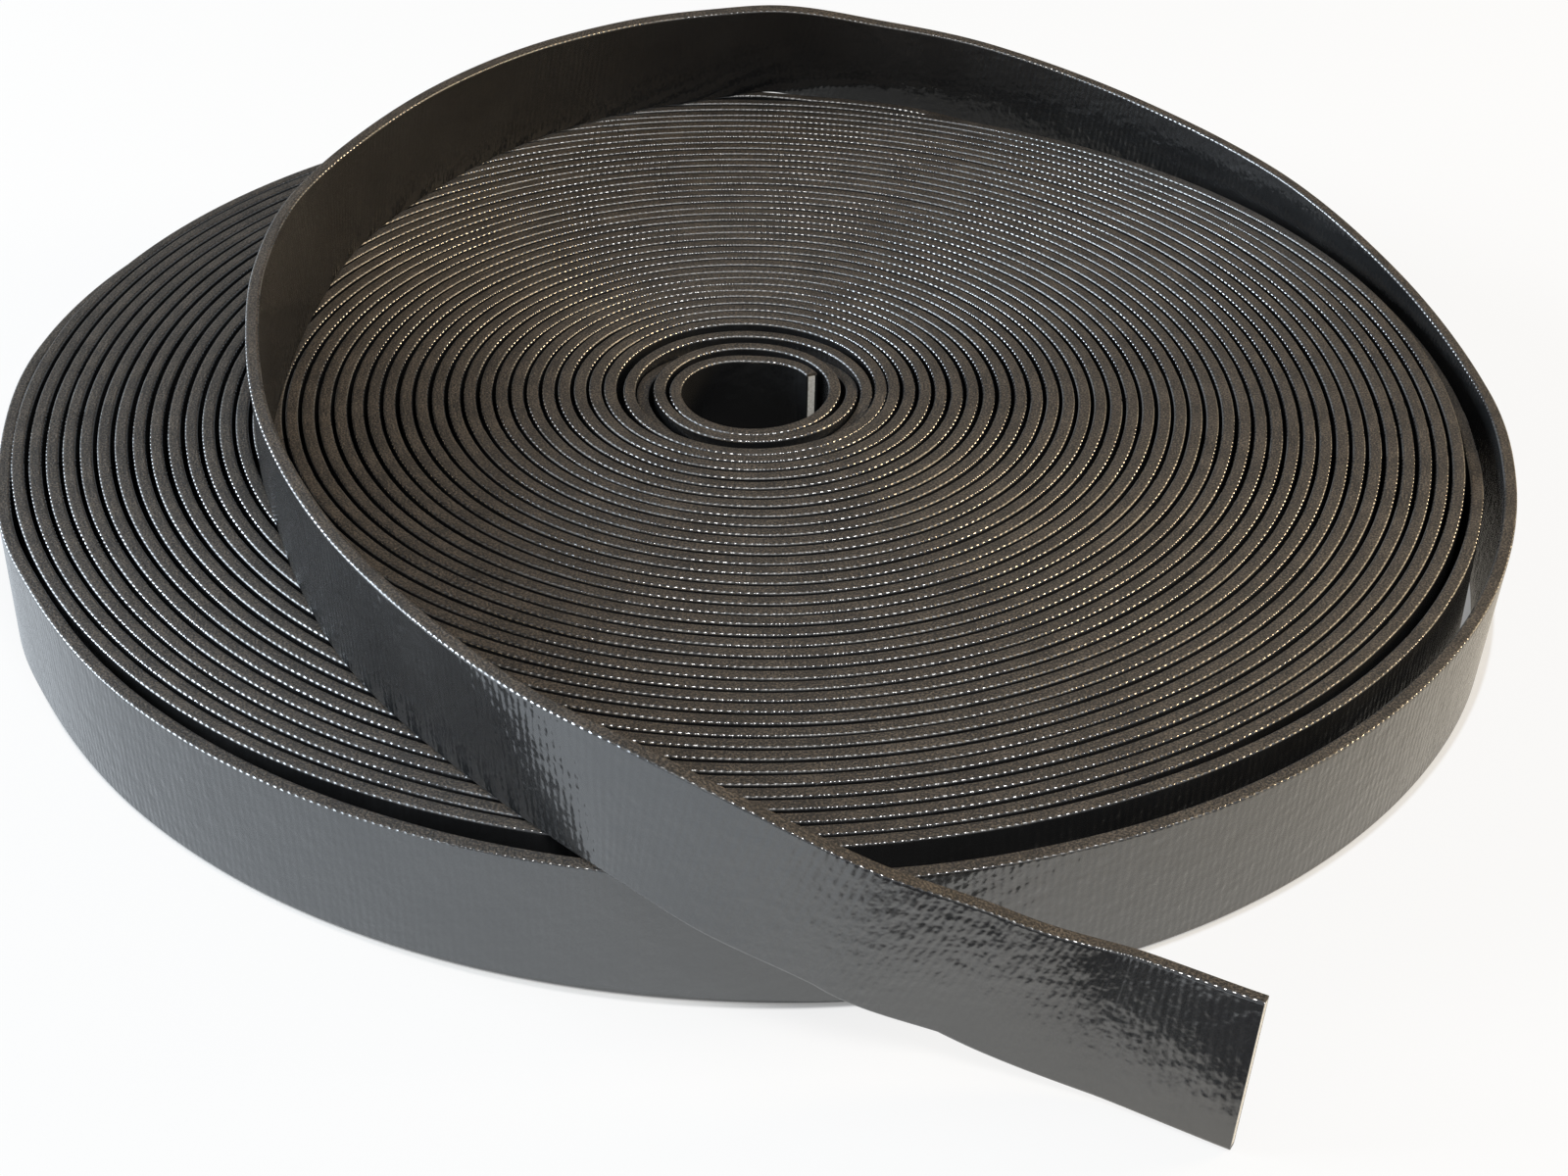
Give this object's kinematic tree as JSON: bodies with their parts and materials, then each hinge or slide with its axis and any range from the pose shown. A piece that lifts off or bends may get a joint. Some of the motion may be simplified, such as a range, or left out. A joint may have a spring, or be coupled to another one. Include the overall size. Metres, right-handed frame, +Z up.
{
  "type": "coiled flat soaker hose",
  "caption": "Flat coated strip hose wound edge-on into a round coil lying on its side, its loose last turn crossing over the top to a free square-cut end.",
  "frame": {"origin": "centre of the whole part's footprint, on the floor the coil lies on", "axes": "+Z up along the coil's axis; +Y towards the back, where the loose turn climbs over the rim; the free end is at the front, towards -Y"},
  "size_m": [0.2794, 0.3112, 0.0507],
  "materials": {
    "coating": "satin",
    "woven_core": "matte"
  },
  "bodies": {
    "root": {"first_turn_coating": "coating", "first_turn_core": "woven_core", "inner_turns": "coating", "outer_turns": "coating", "loose_turn_coating": "coating", "loose_turn_core": "woven_core"}
  },
  "joints": []
}
